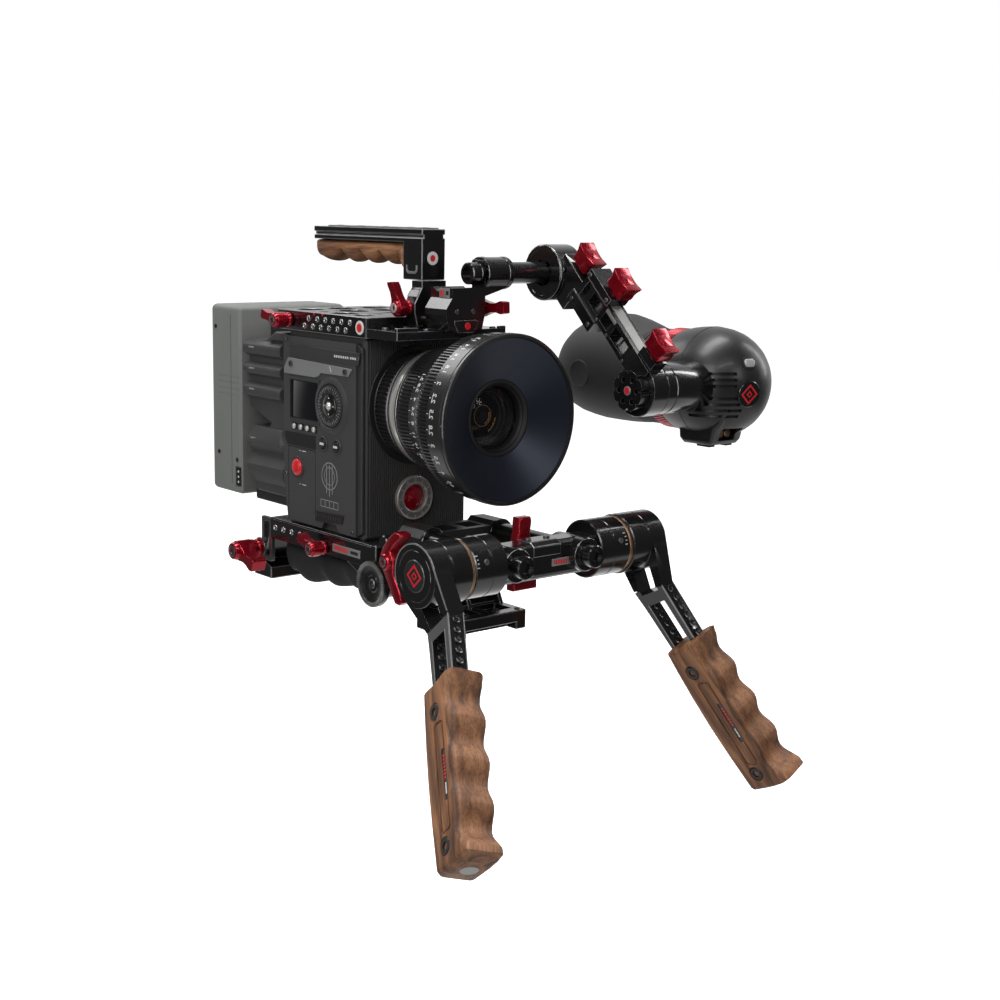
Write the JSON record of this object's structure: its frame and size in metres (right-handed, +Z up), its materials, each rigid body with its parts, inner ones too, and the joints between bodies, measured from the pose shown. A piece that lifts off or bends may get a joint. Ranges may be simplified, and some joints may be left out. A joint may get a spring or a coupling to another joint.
{
  "type": "cinema camera rig",
  "caption": "Shoulder-mounted cinema camera with a large cine lens, top handle, tilting eye finder on a sliding arm, rod-mounted wooden front grips and rear battery.",
  "frame": {"origin": "centre of the flat tripod face on the underside of the foot plate", "axes": "+Z up; the lens looks along -Y; the finder is on the +X side, which is the operator's left"},
  "size_m": [0.3767, 0.4732, 0.3804],
  "materials": {
    "black_anodised": "gloss",
    "satin_black": "satin",
    "dark_shell": "matte",
    "lock_ring_metal": "satin",
    "battery_shell": "matte",
    "red_anodised": "gloss",
    "walnut": "satin",
    "black_rubber": "matte",
    "bronze_ring": "satin",
    "silver_bezel": "satin",
    "coated_glass": "gloss",
    "screen_pane": "gloss"
  },
  "bodies": {
    "camera": {"camera_body": "satin_black", "side_panel": "dark_shell", "screen_glass": "screen_pane", "connector_housing": "dark_shell", "rear_module": "satin_black", "badge_bezel": "silver_bezel", "top_plate": "black_anodised", "front_shelf": "black_anodised", "lens_hood": "black_anodised", "lens_glass": "coated_glass", "lens_barrel": "black_anodised", "base_plate": "black_anodised", "rear_bracket": "black_anodised", "shoulder_pad": "black_rubber", "rosette_mount": "black_anodised", "rod_bridge": "black_anodised", "rod_left": "black_anodised", "rod_right": "black_anodised", "foot_plate": "black_anodised"},
    "battery": {"battery_pack": "battery_shell"},
    "jog_wheel": {"jog_wheel": "satin_black"},
    "jog_button": {"jog_button": "satin_black"},
    "record_button": {"record_button": "red_anodised"},
    "mode_button": {"mode_button": "satin_black"},
    "lock_button": {"lock_button": "satin_black"},
    "soft_key_1": {"soft_key_1": "satin_black"},
    "soft_key_2": {"soft_key_2": "satin_black"},
    "soft_key_3": {"soft_key_3": "satin_black"},
    "soft_key_4": {"soft_key_4": "satin_black"},
    "focus_ring": {"focus_ring": "black_anodised"},
    "iris_ring": {"iris_ring": "black_anodised"},
    "lens_lock": {"mount_lock_ring": "lock_ring_metal"},
    "handle": {"handle_clamp": "black_anodised", "handle_frame": "black_anodised", "handle_wood": "walnut"},
    "handle_lever": {"handle_lever": "red_anodised"},
    "finder_mount": {"finder_mount": "black_anodised"},
    "finder_mount_lever": {"finder_mount_lever": "red_anodised"},
    "finder_rod": {"finder_rod": "black_anodised"},
    "finder_arm": {"finder_arm_outer": "black_anodised"},
    "inner_arm": {"finder_arm_inner": "black_anodised"},
    "arm_knob_1": {"arm_knob_1": "red_anodised"},
    "arm_knob_2": {"arm_knob_2": "red_anodised"},
    "arm_knob_3": {"arm_knob_3": "red_anodised"},
    "tilt_lock": {"tilt_lock_disc": "black_anodised"},
    "finder": {"finder_body": "satin_black"},
    "finder_focus": {"finder_focus_ring": "red_anodised"},
    "eyecup": {"eyecup": "black_rubber"},
    "plate_lever": {"plate_lever": "red_anodised"},
    "rear_lever": {"rear_lever": "red_anodised"},
    "side_lever": {"side_lever": "red_anodised"},
    "rod_lever": {"rod_lever": "red_anodised"},
    "cross_bar": {"cross_bar": "black_anodised"},
    "cross_bar_lever": {"cross_bar_lever": "red_anodised"},
    "left_tension": {"tension_ring_left": "bronze_ring"},
    "right_tension": {"tension_ring_right": "bronze_ring"},
    "left_grip": {"grip_arm_left": "black_anodised", "grip_wood_left": "walnut"},
    "right_grip": {"grip_arm_right": "black_anodised", "grip_wood_right": "walnut"}
  },
  "joints": [
    {"name": "battery_slide", "type": "slide", "parent": "camera", "child": "battery", "axis": [0, 0, 1], "range_m": [0, 0.03]},
    {"name": "jog_wheel_turn", "type": "hinge", "parent": "camera", "child": "jog_wheel", "pos_m": [-0.05, 0.0935, 0.1464], "axis": [1, 0, 0], "continuous": true},
    {"name": "jog_button_press", "type": "slide", "parent": "camera", "child": "jog_button", "axis": [1, 0, 0], "range_m": [0, 0.0008], "stiffness_N_per_m": 400},
    {"name": "record_button_press", "type": "slide", "parent": "camera", "child": "record_button", "axis": [1, 0, 0], "range_m": [0, 0.001], "stiffness_N_per_m": 400},
    {"name": "mode_button_press", "type": "slide", "parent": "camera", "child": "mode_button", "axis": [1, 0, 0], "range_m": [0, 0.001], "stiffness_N_per_m": 400},
    {"name": "lock_button_press", "type": "slide", "parent": "camera", "child": "lock_button", "axis": [1, 0, 0], "range_m": [0, 0.001], "stiffness_N_per_m": 400},
    {"name": "soft_key_1_press", "type": "slide", "parent": "camera", "child": "soft_key_1", "axis": [1, 0, 0], "range_m": [0, 0.001], "stiffness_N_per_m": 400},
    {"name": "soft_key_2_press", "type": "slide", "parent": "camera", "child": "soft_key_2", "axis": [1, 0, 0], "range_m": [0, 0.001], "stiffness_N_per_m": 400},
    {"name": "soft_key_3_press", "type": "slide", "parent": "camera", "child": "soft_key_3", "axis": [1, 0, 0], "range_m": [0, 0.001], "stiffness_N_per_m": 400},
    {"name": "soft_key_4_press", "type": "slide", "parent": "camera", "child": "soft_key_4", "axis": [1, 0, 0], "range_m": [0, 0.001], "stiffness_N_per_m": 400},
    {"name": "focus_turn", "type": "hinge", "parent": "camera", "child": "focus_ring", "pos_m": [0, -0.024, 0.148], "axis": [0, 1, 0], "range_deg": [-150, 150]},
    {"name": "iris_turn", "type": "hinge", "parent": "camera", "child": "iris_ring", "pos_m": [0, 0.015, 0.148], "axis": [0, 1, 0], "range_deg": [-45, 45]},
    {"name": "lens_lock_turn", "type": "hinge", "parent": "camera", "child": "lens_lock", "pos_m": [0, 0.05, 0.148], "axis": [0, 1, 0], "range_deg": [0, 60]},
    {"name": "handle_slide", "type": "slide", "parent": "camera", "child": "handle", "axis": [0, -1, 0], "range_m": [0, 0.008]},
    {"name": "handle_lever_turn", "type": "hinge", "parent": "handle", "child": "handle_lever", "pos_m": [-0.0168, 0.0455, 0.217], "axis": [1, 0, 0], "range_deg": [-75, 75]},
    {"name": "finder_mount_slide", "type": "slide", "parent": "camera", "child": "finder_mount", "axis": [0, -1, 0], "range_m": [0, 0.008]},
    {"name": "finder_mount_lever_turn", "type": "hinge", "parent": "finder_mount", "child": "finder_mount_lever", "pos_m": [0.0168, 0.016, 0.2175], "axis": [1, 0, 0], "range_deg": [-24, 35]},
    {"name": "finder_rod_slide", "type": "slide", "parent": "finder_mount", "child": "finder_rod", "axis": [1, 0, 0], "range_m": [-0.015, 0.01]},
    {"name": "finder_arm_swing", "type": "hinge", "parent": "finder_rod", "child": "finder_arm", "pos_m": [0.089, 0.016, 0.241], "axis": [1, 0, 0], "range_deg": [-30, 20]},
    {"name": "arm_extend", "type": "slide", "parent": "finder_arm", "child": "inner_arm", "axis": [0, -0.6997, -0.7145], "range_m": [-0.003, 0.012]},
    {"name": "arm_knob_1_turn", "type": "hinge", "parent": "finder_arm", "child": "arm_knob_1", "pos_m": [0.0895, -0.01352, 0.24534], "axis": [0, -0.7145, 0.6997], "continuous": true},
    {"name": "arm_knob_2_turn", "type": "hinge", "parent": "finder_arm", "child": "arm_knob_2", "pos_m": [0.0895, -0.048, 0.22942], "axis": [0, -0.7145, 0.6997], "continuous": true},
    {"name": "arm_knob_3_turn", "type": "hinge", "parent": "inner_arm", "child": "arm_knob_3", "pos_m": [0.0895, -0.08579, 0.19084], "axis": [0, -0.7145, 0.6997], "continuous": true},
    {"name": "tilt_lock_turn", "type": "hinge", "parent": "inner_arm", "child": "tilt_lock", "pos_m": [0.08, -0.074, 0.166], "axis": [1, 0, 0], "continuous": true},
    {"name": "finder_tilt", "type": "hinge", "parent": "inner_arm", "child": "finder", "pos_m": [0.14, -0.074, 0.166], "axis": [1, 0, 0], "range_deg": [-45, 45]},
    {"name": "finder_focus_turn", "type": "hinge", "parent": "finder", "child": "finder_focus", "pos_m": [0.172, -0.035, 0.166], "axis": [0, 1, 0], "range_deg": [-60, 60]},
    {"name": "eyecup_turn", "type": "hinge", "parent": "finder", "child": "eyecup", "pos_m": [0.172, 0.016, 0.166], "axis": [0, 1, 0], "range_deg": [-90, 90]},
    {"name": "plate_lever_turn", "type": "hinge", "parent": "camera", "child": "plate_lever", "pos_m": [-0.0483, 0.146, 0.2035], "axis": [1, 0, 0], "range_deg": [0, 90]},
    {"name": "rear_lever_turn", "type": "hinge", "parent": "camera", "child": "rear_lever", "pos_m": [-0.0483, 0.188, 0.029], "axis": [1, 0, 0], "range_deg": [-90, 0]},
    {"name": "side_lever_turn", "type": "hinge", "parent": "camera", "child": "side_lever", "pos_m": [-0.0503, 0.099, 0.0445], "axis": [1, 0, 0], "range_deg": [0, 80]},
    {"name": "rod_lever_turn", "type": "hinge", "parent": "camera", "child": "rod_lever", "pos_m": [-0.0408, 0.004, 0.053], "axis": [1, 0, 0], "range_deg": [-60, 12]},
    {"name": "cross_bar_slide", "type": "slide", "parent": "camera", "child": "cross_bar", "axis": [0, 1, 0], "range_m": [-0.008, 0.02]},
    {"name": "cross_bar_lever_turn", "type": "hinge", "parent": "cross_bar", "child": "cross_bar_lever", "pos_m": [0, -0.0619, 0.061], "axis": [0, 1, 0], "range_deg": [-45, 45]},
    {"name": "left_tension_turn", "type": "hinge", "parent": "cross_bar", "child": "left_tension", "pos_m": [-0.068, -0.0725, 0.062], "axis": [1, 0, 0], "continuous": true},
    {"name": "right_tension_turn", "type": "hinge", "parent": "cross_bar", "child": "right_tension", "pos_m": [0.068, -0.0725, 0.062], "axis": [1, 0, 0], "continuous": true},
    {"name": "left_grip_swing", "type": "hinge", "parent": "cross_bar", "child": "left_grip", "pos_m": [-0.084, -0.0725, 0.062], "axis": [1, 0, 0], "range_deg": [-40, 50]},
    {"name": "right_grip_swing", "type": "hinge", "parent": "cross_bar", "child": "right_grip", "pos_m": [0.084, -0.0725, 0.062], "axis": [1, 0, 0], "range_deg": [-50, 40]}
  ]
}
